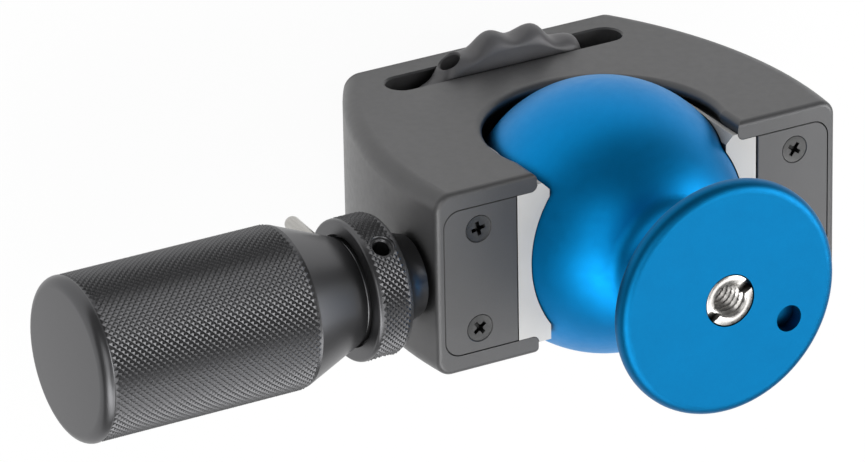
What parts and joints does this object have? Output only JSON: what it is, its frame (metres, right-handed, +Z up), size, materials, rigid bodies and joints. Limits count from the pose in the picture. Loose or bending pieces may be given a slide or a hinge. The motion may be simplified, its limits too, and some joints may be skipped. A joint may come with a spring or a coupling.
{
  "type": "tripod ball head",
  "caption": "Clamped ball in a flat housing with a round camera platform, a knurled clamp handle with a friction ring, and a captive threaded wheel for a tripod stud.",
  "frame": {"origin": "centre of the housing's tripod face, on the axis of the tripod stud and of the upright stem", "axes": "+Z up along the resting stem to the camera platform, +X along the clamp handle, -Y and +Y out of the housing's two flat faces"},
  "size_m": [0.1518, 0.05, 0.087],
  "materials": {
    "grey_anodised": "matte anodised",
    "wheel_anodised": "matte anodised",
    "grip_anodised": "matte anodised, knurled",
    "blue_anodised": "satin anodised",
    "jaw_plastic": "matte",
    "shim_plastic": "matte",
    "black_steel": "blackened",
    "plated_steel": "bright plated",
    "bright_steel": "ground"
  },
  "bodies": {
    "housing": {"housing": "grey_anodised", "far_jaw": "jaw_plastic", "near_cover_plate": "grey_anodised", "far_cover_plate": "grey_anodised", "near_cover_screws": "black_steel", "far_cover_screws": "black_steel"},
    "tilt_shim": {"far_jaw_shim": "shim_plastic"},
    "ball": {"ball": "blue_anodised"},
    "platform": {"platform": "blue_anodised", "camera_thread_bush": "plated_steel", "platform_bolt": "black_steel"},
    "mount_wheel": {"mounting_wheel": "wheel_anodised", "wheel_thread_bush": "plated_steel"},
    "near_jaw": {"near_jaw": "jaw_plastic", "pressure_plate": "bright_steel"},
    "grip": {"clamp_grip": "grip_anodised", "clamp_spindle": "bright_steel", "thrust_ball": "bright_steel", "grip_key_pin": "bright_steel"},
    "spring_pack": {"disc_springs": "bright_steel"},
    "ring": {"friction_ring": "grip_anodised", "friction_sleeve": "black_steel", "ring_key_pins": "bright_steel", "grip_washer": "shim_plastic"},
    "tommy_pin": {"tommy_pin": "bright_steel"}
  },
  "joints": [
    {"name": "ball_tilt", "type": "hinge", "parent": "housing", "child": "tilt_shim", "pos_m": [0, 0, 0.044], "axis": [1, 0, 0], "range_deg": [-100, 100]},
    {"name": "ball_side_tilt", "type": "hinge", "parent": "tilt_shim", "child": "ball", "pos_m": [0, 0, 0.044], "axis": [0, 1, 0], "range_deg": [-18, 18]},
    {"name": "ball_turn", "type": "hinge", "parent": "ball", "child": "platform", "pos_m": [0, 0, 0.044], "axis": [0, 0, 1], "continuous": true},
    {"name": "wheel_spin", "type": "hinge", "parent": "housing", "child": "mount_wheel", "pos_m": [0, 0, 0.009], "axis": [0, 0, 1], "continuous": true},
    {"name": "jaw_slide", "type": "slide", "parent": "housing", "child": "near_jaw", "axis": [-1, 0, 0], "range_m": [0, 0.00015]},
    {"name": "grip_turn", "type": "hinge", "parent": "near_jaw", "child": "grip", "pos_m": [0, 0, 0.0483], "axis": [-1, 0, 0], "range_deg": [0, 55]},
    {"name": "spring_slide", "type": "slide", "parent": "housing", "child": "spring_pack", "axis": [-1, 0, 0], "range_m": [0, 0.0005]},
    {"name": "ring_turn", "type": "hinge", "parent": "spring_pack", "child": "ring", "pos_m": [0, 0, 0.0483], "axis": [-1, 0, 0], "range_deg": [0, 182]},
    {"name": "pin_draw", "type": "slide", "parent": "ring", "child": "tommy_pin", "axis": [0, -0.0698, -0.9976], "range_m": [0, 0.012]}
  ],
  "couplings": [
    {"joint": "grip_turn", "follows": "jaw_slide", "rad_per_m": 6283.2},
    {"joint": "ring_turn", "follows": "spring_slide", "rad_per_m": 6283.2}
  ]
}
